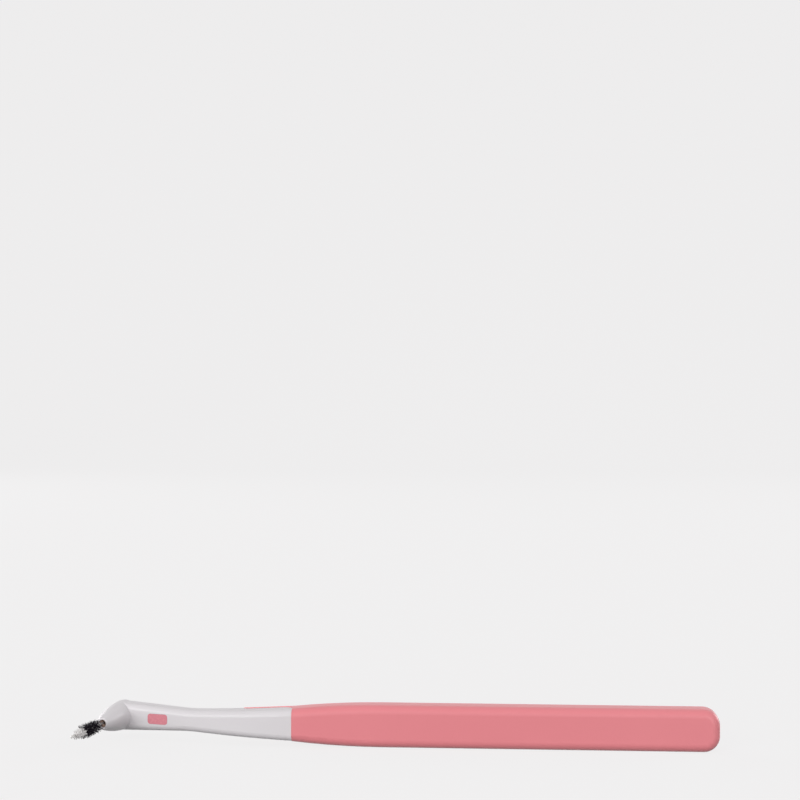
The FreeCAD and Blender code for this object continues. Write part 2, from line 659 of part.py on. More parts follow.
def make_core():
    """Neck, head, nozzle and inner tang in one moulding."""
    body = new_body("handle_core", SEAM_PLACEMENT)
    side = new_sketch(body, "core_side", "XY_Plane")
    faces = draw_core_side(side)
    pad(body, "core_pad", side, f"Sizes.grip_width + {CUT_MARGIN}")
    outline = new_sketch(body, "core_outline", "XZ_Plane")
    draw_core_outline(outline)
    waste = pocket(body, "core_outline_cut", outline, "Sizes.head_distance")
    shaped = mirror(body, "core_outline_mirrored", waste)
    doc.recompute()
    edges = edges_along(shaped, side, faces)
    fillet(body, "core_edges", shaped, edges, "Sizes.neck_edge_radius")
    seat = new_sketch(body, "tongue_seat", "XY_Plane")
    draw_tongue_seat(seat)
    seated = pocket(body, "tongue_seat_cut", seat, "2 * Sizes.grip_width")
    doc.recompute()
    corner = edges_across(seated, -value("Sizes.moulded_gap"), value(f"{PARTING_Y} - Sizes.moulded_gap"))
    fillet(body, "parting_corner_core", seated, corner, "Sizes.parting_radius")
    head = new_sketch(body, "head_section", "XY_Plane", HEAD_AXIS)
    draw_head(head)
    nozzle = revolve(body, "Revolution", "head", head)
    doc.recompute()
    rim_length = 2 * pi * value("Sizes.nozzle_radius")
    rim = [
        f"Edge{number}" for number, edge in enumerate(nozzle.Shape.Edges, start=1)
        if edge.isClosed() and abs(edge.Length - rim_length) < TOUCH
    ]
    fillet(body, "nozzle_rim", nozzle, rim, "Sizes.nozzle_rim_radius")
    bore = new_sketch(body, "nozzle_bore", "XY_Plane", HEAD_AXIS)
    draw_bore(bore)
    revolve(body, "Groove", "nozzle_bore_cut", bore)
    tang = new_sketch(body, "tang", "XZ_Plane", TANG_PLANE)
    draw_tang(tang, "0")
    pad(body, "tang_pad", tang, "Sizes.tang_thickness")
    window = new_sketch(body, "inlay_pocket", "XZ_Plane", INLAY_PLANE)
    draw_inlay(window, "Sizes.inlay_gap")
    pocket(body, "inlay_pocket_cut", window, "2 * (Sizes.inlay_depth + Sizes.inlay_gap)")
    doc.recompute()
    return body


def make_inlay():
    """Coloured tablet let into the front of the neck, flush with it."""
    body = new_body("colour_inlay", INLAY_PLACEMENT)
    sketch = new_sketch(body, "inlay_outline", "XY_Plane")
    draw_inlay(sketch, "0")
    tablet = body.newObject("PartDesign::Pad", "inlay_pad")
    tablet.Profile = sketch
    tablet.Reversed = True
    tablet.setExpression("Length", "Sizes.inlay_depth")
    doc.recompute()
    return body


# Brush: wire, plug and filaments about the nozzle's axis

def raised(height, turn="0"):
    """Placement at a height on the brush's axis, turned about it, as an expression."""
    return (
        f"create(<<placement>>; create(<<vector>>; 0; 0; {height}); "
        f"create(<<rotation>>; {turn}; 0; 0))"
    )


def sweep_strand(name, path, roll):
    """Many-sided strand along a path that starts one strand offset from the axis, its section rolled."""
    section = doc.addObject("Part::RegularPolygon", f"{name}_section")
    section.Polygon = STRAND_SIDES
    section.setExpression("Circumradius", "Sizes.strand_radius")
    section.setExpression(
        "Placement",
        f"create(<<placement>>; create(<<vector>>; {STRAND_OFFSET}; 0; 0); "
        f"create(<<rotation>>; 0; 0; {roll}))",
    )
    strand = doc.addObject("Part::Sweep", name)
    strand.Sections = [section]
    strand.Spine = (path, [])
    strand.Solid = True
    strand.Frenet = True
    return strand


def make_leg(name, turn):
    """One leg of the wire: a helix about the brush's axis, started at an angle."""
    helix = doc.addObject("Part::Helix", f"{name}_path")
    helix.setExpression("Pitch", "Sizes.wire_lead")
    helix.setExpression("Height", LEG_HEIGHT)
    helix.setExpression("Radius", STRAND_OFFSET)
    slope = f"atan(Sizes.wire_lead / (2 * pi * {STRAND_OFFSET})) - 90 deg"
    leg = sweep_strand(name, helix, slope)
    leg.setExpression("Placement", raised("-Sizes.wire_root", turn))
    return leg


def make_fold():
    """Loop at the tip in which one leg turns into the other."""
    path = doc.addObject("Part::Circle", "fold_path")
    path.setExpression("Radius", STRAND_OFFSET)
    path.Angle2 = 180
    path.Placement.Rotation = FreeCAD.Rotation(0, 0, 90)
    fold = sweep_strand("fold", path, "0")
    fold.setExpression("Placement", raised("Sizes.wire_length - Sizes.strand_radius", LEG_TURN))
    return fold


def make_wire():
    """Wire folded at the tip, its two legs twisted about each other."""
    wire = doc.addObject("Part::MultiFuse", "twisted_wire")
    wire.Label = "twisted_wire"
    wire.Shapes = [make_leg("first_leg", "0"), make_leg("second_leg", "180"), make_fold()]
    wire.setExpression("Placement", BRUSH_PLACEMENT)
    doc.recompute()
    return wire


def make_plug():
    """Plug at the bottom of the nozzle's recess, around the wire."""
    outer = doc.addObject("Part::Cylinder", "plug_outside")
    outer.setExpression("Radius", "Sizes.recess_radius - Sizes.plug_gap")
    outer.setExpression("Height", "Sizes.plug_length")
    inner = doc.addObject("Part::Cylinder", "plug_bore")
    inner.setExpression("Radius", BORE_RADIUS)
    inner.setExpression("Height", "3 * Sizes.plug_length")
    floor = "Sizes.plug_gap - Sizes.recess_depth"
    for cylinder, height in ((outer, floor), (inner, f"{floor} - Sizes.plug_length")):
        cylinder.setExpression("Placement", raised(height))
    plug = doc.addObject("Part::Cut", "wire_plug")
    plug.Label = "wire_plug"
    plug.Base = outer
    plug.Tool = inner
    plug.setExpression("Placement", BRUSH_PLACEMENT)
    doc.recompute()
    return plug


def make_bristles(name, start, length, start_diameter, end_diameter):
    """Filaments that cross the axis between the wire's legs and turn with its twist, as separate solids."""
    pitch = value("Sizes.filament_pitch")
    radius = value("Sizes.filament_radius")
    lead = value("Sizes.wire_lead")
    root = value("Sizes.wire_root")
    count = int(value(length) / pitch)
    angles = [2 * pi * corner / STRAND_SIDES for corner in range(STRAND_SIDES + 1)]
    corners = [FreeCAD.Vector(radius * cos(angle), 0, radius * sin(angle)) for angle in angles]
    section = Part.Face(Part.makePolygon(corners))
    axis = FreeCAD.Vector(0, 0, 1)
    filaments = []
    for number in range(count):
        height = value(start) + (number + 0.5) * pitch
        share = number / max(count - 1, 1)
        reach = value(start_diameter) * (1 - share) + value(end_diameter) * share
        filament = section.extrude(FreeCAD.Vector(0, reach, 0))
        filament.translate(FreeCAD.Vector(0, -reach / 2, height))
        filament.rotate(FreeCAD.Vector(0, 0, 0), axis, 360 * (height + root) / lead)
        filaments.append(filament)
    tuft = doc.addObject("Part::Feature", name)
    tuft.Label = name
    tuft.Shape = Part.makeCompound(filaments)
    tuft.setExpression("Placement", BRUSH_PLACEMENT)
    doc.recompute()
    return tuft


parts = [
    make_core(),
    make_grip(),
    make_inlay(),
    make_wire(),
    make_plug(),
    make_bristles("black_bristles", "Sizes.bare_length", "Sizes.black_length",
                  "Sizes.black_diameter", "Sizes.black_diameter"),
    make_bristles("white_bristles", "Sizes.bare_length + Sizes.black_length", "Sizes.white_length",
                  "Sizes.white_diameter", "Sizes.white_tip_diameter"),
]

doc.recompute()
failed = [item.Name for item in doc.Objects if {"Invalid", "Error"} & set(item.State)]
if failed:
    raise RuntimeError(f"features that did not build: {failed}")
for part in parts:
    if part.Shape.isNull() or not part.Shape.isValid():
        raise RuntimeError(f"{part.Label} has no valid shape")

os.makedirs("parts", exist_ok=True)
for part in parts:
    part.Shape.exportStep(f"parts/{part.Label}.step")
    print(f"{part.Label}: {len(part.Shape.Solids)} solids, {part.Shape.Volume:.1f} mm3")
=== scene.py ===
"""Looks of the interdental brush: finishes for the moulded solids, a round twisted wire with its
bristles, a pale floor with soft light, and the camera.

The wire and the bristles are measured in millimetres, and the stage in metres.
"""

import logging
import random
from dataclasses import dataclass, field
from enum import Enum
from math import atan2, cos, pi, radians, sin, tau

import bmesh
import bpy
from mathutils import Matrix, Vector


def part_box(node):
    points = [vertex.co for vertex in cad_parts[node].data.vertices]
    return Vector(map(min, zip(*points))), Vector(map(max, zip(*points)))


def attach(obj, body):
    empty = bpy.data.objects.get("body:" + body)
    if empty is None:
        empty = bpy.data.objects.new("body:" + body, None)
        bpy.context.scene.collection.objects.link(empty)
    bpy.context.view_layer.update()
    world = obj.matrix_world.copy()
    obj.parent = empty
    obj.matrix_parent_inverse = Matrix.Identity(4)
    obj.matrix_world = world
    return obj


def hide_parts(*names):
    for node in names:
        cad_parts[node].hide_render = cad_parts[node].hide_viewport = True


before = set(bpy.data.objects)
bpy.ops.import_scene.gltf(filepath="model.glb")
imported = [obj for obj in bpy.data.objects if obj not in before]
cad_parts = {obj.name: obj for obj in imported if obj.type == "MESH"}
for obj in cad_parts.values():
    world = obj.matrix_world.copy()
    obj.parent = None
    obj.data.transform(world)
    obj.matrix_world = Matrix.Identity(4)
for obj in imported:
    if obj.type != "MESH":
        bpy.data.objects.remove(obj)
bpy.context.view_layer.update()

Colour = tuple[float, float, float]
Point = tuple[float, float, float]
Socket = bpy.types.NodeSocket
Tree = bpy.types.NodeTree

MM = 0.001
LOG = logging.getLogger("interdental_brush")

# Rise of the wire's twist in one turn, in millimetres
TWIST_LEAD = 3.0
# Vertex attribute of the bristles: 0 at the wire and 1 at a filament's tip
ALONG = "along"
# Values that a noise texture mostly stays between
NOISE_LOW = 0.3
NOISE_HIGH = 0.7
# Sockets of the Mix node for colours: its factor with its two colours, and the mixed colour
COLOUR_MIX_INPUTS = (0, 6, 7)
COLOUR_MIX_OUTPUT = 2


class Slot(Enum):
    """Material slots of the record for the scene's own pieces: the wire and the two kinds of bristle."""

    STEEL = "steel_wire"
    BLACK = "black_filament"
    WHITE = "white_filament"


class SocketKind(Enum):
    """Kinds of value that a node group takes in and puts out."""

    COLOUR = "NodeSocketColor"
    NUMBER = "NodeSocketFloat"


# Small tools for node trees and meshes

def add_node(tree: Tree, kind: str, **sockets: object) -> bpy.types.Node:
    """Adds a node and fills its inputs.

    Args:
        tree: Tree that the node goes into.
        kind: Blender's name for the node type.
        sockets: Values or output sockets by input name, with _ for each space.

    Returns:
        The new node.
    """
    node = tree.nodes.new(kind)
    for name, given in sockets.items():
        socket = node.inputs[name.replace("_", " ")]
        if isinstance(given, Socket):
            tree.links.new(given, socket)
        else:
            socket.default_value = given
    return node


def place_group(tree: Tree, group: Tree, inputs: dict[str, object]) -> bpy.types.Node:
    """Places a shared node group in a material.

    Args:
        tree: Tree of the material.
        group: Group to place.
        inputs: Values by input name.

    Returns:
        The node that stands for the group.
    """
    node = tree.nodes.new("ShaderNodeGroup")
    node.node_tree = group
    for label, given in inputs.items():
        node.inputs[label].default_value = given
    return node


def noise(tree: Tree, scale: Socket | float, detail: float) -> Socket:
    """Adds a noise that is fixed to the piece.

    Args:
        tree: Tree that the noise goes into.
        scale: Features to the metre.
        detail: How many finer layers it has.

    Returns:
        The noise, as a value around one half.
    """
    place = tree.nodes.new("ShaderNodeTexCoord").outputs["Object"]
    texture = add_node(tree, "ShaderNodeTexNoise", Vector=place, Scale=scale, Detail=detail)
    return texture.outputs["Fac"]


def stretch_noise(tree: Tree, given: Socket, lowest: Socket | float, highest: Socket | float) -> Socket:
    """Stretches a noise over a range.

    Args:
        tree: Tree that the noise is in.
        given: The noise.
        lowest: Value where the noise is low.
        highest: Value where the noise is high.

    Returns:
        The stretched value.
    """
    stretch = add_node(
        tree, "ShaderNodeMapRange", Value=given, From_Min=NOISE_LOW, From_Max=NOISE_HIGH,
        To_Min=lowest, To_Max=highest,
    )
    return stretch.outputs["Result"]


def mix_colours(tree: Tree, share: Socket, first: Socket, second: Socket) -> Socket:
    """Mixes two colours.

    Args:
        tree: Tree that the mix goes into.
        share: How much of the second colour shows.
        first: Colour at share 0.
        second: Colour at share 1.

    Returns:
        The mixed colour.
    """
    mix = tree.nodes.new("ShaderNodeMix")
    mix.data_type = "RGBA"
    for index, given in zip(COLOUR_MIX_INPUTS, (share, first, second)):
        tree.links.new(given, mix.inputs[index])
    return mix.outputs[COLOUR_MIX_OUTPUT]


def mix_shaders(tree: Tree, share: Socket | float, first: Socket, second: Socket) -> Socket:
    """Mixes two shaders.

    Args:
        tree: Tree that the mix goes into.
        share: How much of the second shader shows.
        first: Shader at share 0.
        second: Shader at share 1.

    Returns:
        The mixed shader.
    """
    mix = add_node(tree, "ShaderNodeMixShader", Fac=share)
    tree.links.new(first, mix.inputs[1])
    tree.links.new(second, mix.inputs[2])
    return mix.outputs["Shader"]


def opaque(colour: Colour) -> tuple[float, float, float, float]:
    """The colour with full alpha, as colour sockets take it."""
    return (*colour, 1.0)


def new_material(name: str) -> tuple[bpy.types.Material, Tree, bpy.types.Node]:
    """Makes an empty node material.

    Args:
        name: Name of the material.

    Returns:
        The material, its tree and its output node.
    """
    material = bpy.data.materials.new(name)
    material.use_nodes = True
    tree = material.node_tree
    tree.nodes.clear()
    return material, tree, tree.nodes.new("ShaderNodeOutputMaterial")


def mesh_object(name: str, bm: bmesh.types.BMesh, material: bpy.types.Material) -> bpy.types.Object:
    """Turns a bmesh into an object at the origin.

    Args:
        name: Name of the object and its mesh.
        bm: Shape in metres, freed here.
        material: Finish of the whole mesh.

    Returns:
        The new object, linked to the scene and shaded smooth.
    """
    mesh = bpy.data.meshes.new(name)
    bm.to_mesh(mesh)
    bm.free()
    mesh.materials.append(material)
    mesh.shade_smooth()
    piece = bpy.data.objects.new(name, mesh)
    bpy.context.scene.collection.objects.link(piece)
    return piece


# Node groups shared by the finishes

class SurfaceGroups:
    """Shader node groups that more than one finish uses, each built once."""

    MOTTLE_DETAIL = 3.0
    GRAIN_DETAIL = 2.0
    CHANGE_DETAIL = 1.0
    TIP_WEIGHT = 0.7

    def __init__(self) -> None:
        """Builds the groups."""
        self.moulded = self._moulded()
        self.filament = self._filament()

    @staticmethod
    def _group(name: str, inputs: dict[str, SocketKind], outputs: dict[str, SocketKind]) -> Tree:
        """Makes a group with named sockets.

        Args:
            name: Name of the group.
            inputs: Socket kinds by input name.
            outputs: Socket kinds by output name.

        Returns:
            The group, with its input and output nodes in place.
        """
        group = bpy.data.node_groups.new(name, "ShaderNodeTree")
        for side, sockets in (("INPUT", inputs), ("OUTPUT", outputs)):
            for label, kind in sockets.items():
                group.interface.new_socket(label, in_out=side, socket_type=kind.value)
        group.nodes.new("NodeGroupInput")
        group.nodes.new("NodeGroupOutput")
        return group

    @classmethod
    def _moulded(cls) -> Tree:
        """Builds moulded plastic: slow mottle in the colour, fine spark-eroded grain in roughness and height.

        Returns:
            The group.
        """
        group = cls._group(
            "moulded_surface",
            {"Light": SocketKind.COLOUR, "Deep": SocketKind.COLOUR,
             "Mottle Scale": SocketKind.NUMBER, "Grain Scale": SocketKind.NUMBER,
             "Smoothest": SocketKind.NUMBER, "Roughest": SocketKind.NUMBER},
            {"Colour": SocketKind.COLOUR, "Roughness": SocketKind.NUMBER, "Height": SocketKind.NUMBER},
        )
        given = group.nodes["Group Input"].outputs
        mottle = noise(group, given["Mottle Scale"], cls.MOTTLE_DETAIL)
        grain = noise(group, given["Grain Scale"], cls.GRAIN_DETAIL)
        colour = mix_colours(group, mottle, given["Deep"], given["Light"])
        roughness = stretch_noise(group, grain, given["Smoothest"], given["Roughest"])
        out = group.nodes["Group Output"].inputs
        group.links.new(colour, out["Colour"])
        group.links.new(roughness, out["Roughness"])
        group.links.new(grain, out["Height"])
        return group

    @classmethod
    def _filament(cls) -> Tree:
        """Builds the filament's colour, from the root to the tip, with a slow change over the tuft.

        Returns:
            The group.
        """
        group = cls._group(
            "filament_surface",
            {"Root": SocketKind.COLOUR, "Tip": SocketKind.COLOUR, "Change Scale": SocketKind.NUMBER},
            {"Colour": SocketKind.COLOUR},
        )
        given = group.nodes["Group Input"].outputs
        along = group.nodes.new("ShaderNodeAttribute")
        along.attribute_name = ALONG
        change = noise(group, given["Change Scale"], cls.CHANGE_DETAIL)
        share = group.nodes.new("ShaderNodeMath")
        share.operation = "MULTIPLY_ADD"
        group.links.new(along.outputs["Fac"], share.inputs[0])
        share.inputs[1].default_value = cls.TIP_WEIGHT
        group.links.new(change, share.inputs[2])
        colour = mix_colours(group, share.outputs[0], given["Root"], given["Tip"])
        group.links.new(colour, group.nodes["Group Output"].inputs["Colour"])
        return group


# Finishes

@dataclass(frozen=True)
class MouldedFinish:
    """Moulded plastic or soft-touch rubber with a fine grain.

    Colours are linear, scales are features to the metre, and the grain's height is in metres.
    """

    name: str
    light: Colour
    deep: Colour
    smoothest: float
    roughest: float
    grain_scale: float
    grain_height: float
    mottle_scale: float = 60.0
    sheen: float = 0.0

    def material(self, groups: SurfaceGroups) -> bpy.types.Material:
        """Builds the material.

        Args:
            groups: Shared node groups.

        Returns:
            The finished material.
        """
        material, tree, output = new_material(self.name)
        surface = place_group(tree, groups.moulded, {
            "Light": opaque(self.light), "Deep": opaque(self.deep),
            "Mottle Scale": self.mottle_scale, "Grain Scale": self.grain_scale,
            "Smoothest": self.smoothest, "Roughest": self.roughest,
        })
        bump = add_node(tree, "ShaderNodeBump", Height=surface.outputs["Height"], Distance=self.grain_height)
        shader = add_node(
            tree, "ShaderNodeBsdfPrincipled",
            Base_Color=surface.outputs["Colour"], Roughness=surface.outputs["Roughness"],
            Normal=bump.outputs["Normal"], Sheen_Weight=self.sheen,
        )
        tree.links.new(shader.outputs["BSDF"], output.inputs["Surface"])
        return material


@dataclass(frozen=True)
class FilamentFinish:
    """Drawn nylon filament, with its linear colour at the root and at the tip.

    Painted glow is an emission in the filament's own colour, as a share of it: painted light, since
    the filament is no lamp. The change in colour over the tuft has its scale in features to the metre.
    """

    name: str
    root: Colour
    tip: Colour
    roughness: float
    painted_glow: float = 0.0
    specular: float = 0.5
    change_scale: float = 900.0

    def material(self, groups: SurfaceGroups) -> bpy.types.Material:
        """Builds the material.

        Args:
            groups: Shared node groups.

        Returns:
            The finished material.
        """
        material, tree, output = new_material(self.name)
        surface = place_group(tree, groups.filament, {
            "Root": opaque(self.root), "Tip": opaque(self.tip), "Change Scale": self.change_scale,
        })
        shader = add_node(
            tree, "ShaderNodeBsdfPrincipled",
            Base_Color=surface.outputs["Colour"], Roughness=self.roughness,
            Specular_IOR_Level=self.specular,
            # The emission is a painted glow in the filament's own colour; the filament is no lamp.
            Emission_Color=surface.outputs["Colour"], Emission_Strength=self.painted_glow,
        )
        tree.links.new(shader.outputs["BSDF"], output.inputs["Surface"])
        return material


@dataclass(frozen=True)
class DrawnSteelFinish:
    """Drawn steel wire with a fine unevenness in its colour and gloss.

    Colours are linear, and the grain's scale is features to the metre.
    """

    name: str
    light: Colour
    deep: Colour
    smoothest: float = 0.25
    roughest: float = 0.45
    grain_scale: float = 4000.0
    grain_detail: float = 3.0

    def material(self) -> bpy.types.Material:
        """Builds the material.

        Returns:
            The finished material.
        """
        material, tree, output = new_material(self.name)
        grain = noise(tree, self.grain_scale, self.grain_detail)
        ramp = add_node(tree, "ShaderNodeValToRGB", Fac=grain)
        for stop, colour in zip(ramp.color_ramp.elements, (self.deep, self.light)):
            stop.color = opaque(colour)
        shader = add_node(
            tree, "ShaderNodeBsdfPrincipled", Base_Color=ramp.outputs["Color"], Metallic=1.0,
            Roughness=stretch_noise(tree, grain, self.smoothest, self.roughest),
        )
        tree.links.new(shader.outputs["BSDF"], output.inputs["Surface"])
        return material


WHITE_PLASTIC = MouldedFinish(
    "white_satin_plastic", light=(0.80, 0.77, 0.79), deep=(0.76, 0.73, 0.75),
    smoothest=0.34, roughest=0.44, grain_scale=2600.0, grain_height=4e-6,
)
PINK_RUBBER = MouldedFinish(
    "pink_soft_touch_rubber", light=(0.88, 0.27, 0.30), deep=(0.84, 0.25, 0.28),
    smoothest=0.38, roughest=0.50, grain_scale=3200.0, grain_height=5e-6, sheen=0.12,
)
PINK_INLAY = MouldedFinish(
    "pink_inlay_plastic", light=(0.80, 0.28, 0.33), deep=(0.76, 0.25, 0.30),
    smoothest=0.22, roughest=0.30, grain_scale=1800.0, grain_height=2e-6,
)
BROWN_PLUG = MouldedFinish(
    "brown_plug_plastic", light=(0.42, 0.29, 0.22), deep=(0.16, 0.09, 0.06),
    smoothest=0.45, roughest=0.60, grain_scale=5000.0, grain_height=8e-6, mottle_scale=1500.0,
)
BLACK_FILAMENT = FilamentFinish(
    "black_nylon_filament", root=(0.004, 0.002, 0.005), tip=(0.010, 0.007, 0.013), roughness=0.6,
    specular=0.1,
)
# White filament: the root, deep in the tuft, is darker than the tip as painted shade between the bristles,
# and its emission is a painted glow.
WHITE_FILAMENT = FilamentFinish(
    "white_nylon_filament", root=(0.74, 0.72, 0.715), tip=(0.84, 0.82, 0.815), roughness=0.4,
    painted_glow=0.04,
)
STEEL = DrawnSteelFinish("drawn_steel_wire", light=(0.62, 0.61, 0.6), deep=(0.42, 0.41, 0.4))


# Moulded solids

@dataclass
class MouldedHandle:
    """The carried-over solids of the handle, each with its own finish."""

    finishes: dict[str, MouldedFinish] = field(default_factory=lambda: {
        "handle_core": WHITE_PLASTIC,
        "grip": PINK_RUBBER,
        "colour_inlay": PINK_INLAY,
        "wire_plug": BROWN_PLUG,
    })

    def dress(self, groups: SurfaceGroups) -> None:
        """Puts a finish on each solid.

        Args:
            groups: Shared node groups.
        """
        for node, finish in self.finishes.items():
            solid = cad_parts[node]
            solid.data.materials.clear()
            solid.data.materials.append(finish.material(groups))
            LOG.info("%s: %s", node, finish.name)


# Brush

@dataclass
class BrushAxis:
    """The line that the wire follows, found from the solids: z runs from the nozzle's end to the tip.

    The nozzle's end lies exit_above_plug millimetres from the plug's middle.
    """

    exit_above_plug: float = 1.405
    place: Matrix = field(init=False)

    def __post_init__(self) -> None:
        """Finds the axis from the middles of the plug and of the black bristles."""
        plug = self._middle("wire_plug")
        along = (self._middle("black_bristles") - plug).normalized()
        turn = along.to_track_quat("Z", "X").to_matrix().to_4x4()
        nozzle_end = plug + along * self.exit_above_plug * MM
        self.place = Matrix.Translation(nozzle_end) @ turn @ Matrix.Scale(MM, 4)

    @staticmethod
    def _middle(node: str) -> Vector:
        """Middle of a solid's box."""
        low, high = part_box(node)
        return (low + high) / 2


@dataclass
class TwistedWire:
    """Steel wire folded at the tip, with its two legs twisted about each other."""

    strand_radius: float = 0.15
    strand_offset: float = 0.21
    lead: float = TWIST_LEAD
    length: float = 17.0
    root: float = 4.0
    section_sides: int = 10
    steps_per_turn: int = 28
    fold_steps: int = 12

    def build(self, axis: BrushAxis, finish: DrawnSteelFinish) -> bpy.types.Object:
        """Sweeps one round section up the first leg, over the fold and down the second leg.

        Args:
            axis: Line that the wire follows.
            finish: Steel of the wire.

        Returns:
            The wire, in place of its solid.
        """
        bm = bmesh.new()
        height = self.length + self.root
        turns = height / self.lead
        steps = round(turns * self.steps_per_turn)
        slope = atan2(tau * self.strand_offset, self.lead)
        ring = bmesh.ops.create_circle(
            bm, segments=self.section_sides, radius=self.strand_radius,
            matrix=Matrix.Translation((self.strand_offset, 0, -self.root)) @ Matrix.Rotation(-slope, 4, "X"),
        )
        first = self._loop(ring["verts"])
        rise = Vector((0, 0, height / steps))
        end_angle = tau * turns
        up = bmesh.ops.spin(
            bm, geom=first, cent=(0, 0, 0), axis=(0, 0, 1), dvec=rise, angle=end_angle, steps=steps,
        )
        sideways = (-sin(end_angle), cos(end_angle), 0)
        over = bmesh.ops.spin(
            bm, geom=up["geom_last"], cent=(0, 0, self.length), axis=sideways, dvec=(0, 0, 0),
            angle=-pi, steps=self.fold_steps,
        )
        down = bmesh.ops.spin(
            bm, geom=over["geom_last"], cent=(0, 0, 0), axis=(0, 0, 1), dvec=-rise, angle=-end_angle,
            steps=steps,
        )
        for end in (first, down["geom_last"]):
            edges = [part for part in end if isinstance(part, bmesh.types.BMEdge)]
            bmesh.ops.edgeloop_fill(bm, edges=edges)
        bmesh.ops.recalc_face_normals(bm, faces=bm.faces)
        bmesh.ops.transform(bm, matrix=axis.place, verts=bm.verts)
        wire = mesh_object("wire_round", bm, finish.material())
        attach(wire, "root")
        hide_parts("twisted_wire")
        return wire

    @staticmethod
    def _loop(verts: list[bmesh.types.BMVert]) -> list[bmesh.types.BMVert | bmesh.types.BMEdge]:
        """A ring of vertices with the edges between them, each once."""
        return verts + list(dict.fromkeys(edge for vert in verts for edge in vert.link_edges))


@dataclass
class Tuft:
    """Bristles of one colour: filaments held between the wire's legs and trimmed to a diameter.

    Start and length run along the axis. Spread is how far the filaments scatter about the twist, lean
    how far they scatter from square to the wire, fan how far they splay at the tuft's two ends, and trim
    the largest share that is cut from their reach.
    """

    name: str
    node: str
    slot: Slot
    finish: FilamentFinish
    start: float
    length: float
    start_diameter: float
    end_diameter: float
    count: int
    seed: int
    radius: float = 0.06
    tip_taper: float = 0.8
    sides: int = 5
    lead: float = TWIST_LEAD
    spread: float = radians(34)
    lean: float = radians(13)
    fan: float = 0.0
    trim: float = 0.28

    def build(self, axis: BrushAxis, groups: SurfaceGroups) -> bpy.types.Object:
        """Sets the filaments along the twist, one after another, half to each side of the wire.

        Args:
            axis: Line that the wire follows.
            groups: Shared node groups.

        Returns:
            The tuft, in place of its solid.
        """
        draw = random.Random(self.seed)
        bm = bmesh.new()
        along = bm.verts.layers.float.new(ALONG)
        for number in range(self.count):
            share = (number + draw.random()) / self.count
            height = self.start + self.length * share
            widest = self.start_diameter + (self.end_diameter - self.start_diameter) * share
            reach = widest / 2 * (1 - self.trim * draw.random())
            angle = tau * height / self.lead + pi * (number % 2) + draw.gauss(0, self.spread)
            tilt = pi / 2 - draw.gauss(self.fan * (2 * share - 1), self.lean)
            place = (
                Matrix.Translation((0, 0, height)) @ Matrix.Rotation(angle, 4, "Z")
                @ Matrix.Rotation(tilt, 4, "Y") @ Matrix.Translation((0, 0, reach / 2))
            )
            filament = bmesh.ops.create_cone(
                bm, cap_ends=True, segments=self.sides, radius1=self.radius,
                radius2=self.radius * self.tip_taper, depth=reach, matrix=place,
            )
            for vert in filament["verts"]:
                vert[along] = min(vert.co.xy.length / reach, 1.0)
        bmesh.ops.transform(bm, matrix=axis.place, verts=bm.verts)
        tuft = mesh_object(self.name, bm, self.finish.material(groups))
        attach(tuft, "root")
        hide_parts(self.node)
        return tuft


BLACK_TUFT = Tuft(
    "bristles_black", "black_bristles", Slot.BLACK, BLACK_FILAMENT, start=3.4, length=7.4,
    start_diameter=3.9, end_diameter=3.8, count=440, seed=3, fan=radians(22),
)
WHITE_TUFT = Tuft(
    "bristles_white", "white_bristles", Slot.WHITE, WHITE_FILAMENT, start=10.8, length=4.2,
    start_diameter=2.7, end_diameter=2.3, count=320, seed=5, radius=0.05,
)


# Stage

@dataclass(frozen=True)
class Softbox:
    """Square area lamp that the camera doesn't see, with its place and size in metres."""

    name: str
    place: Point
    watts: float
    size: float = 0.9

    def hang(self, target: Point) -> None:
        """Adds the lamp to the scene.

        Args:
            target: Point that it looks at.
        """
        lamp = bpy.data.lights.new(self.name, "AREA")
        lamp.size = self.size
        lamp.energy = self.watts
        holder = bpy.data.objects.new(self.name, lamp)
        holder.location = self.place
        holder.rotation_euler = (Vector(target) - Vector(self.place)).to_track_quat("-Z", "Y").to_euler()
        holder.visible_camera = False
        bpy.context.scene.collection.objects.link(holder)


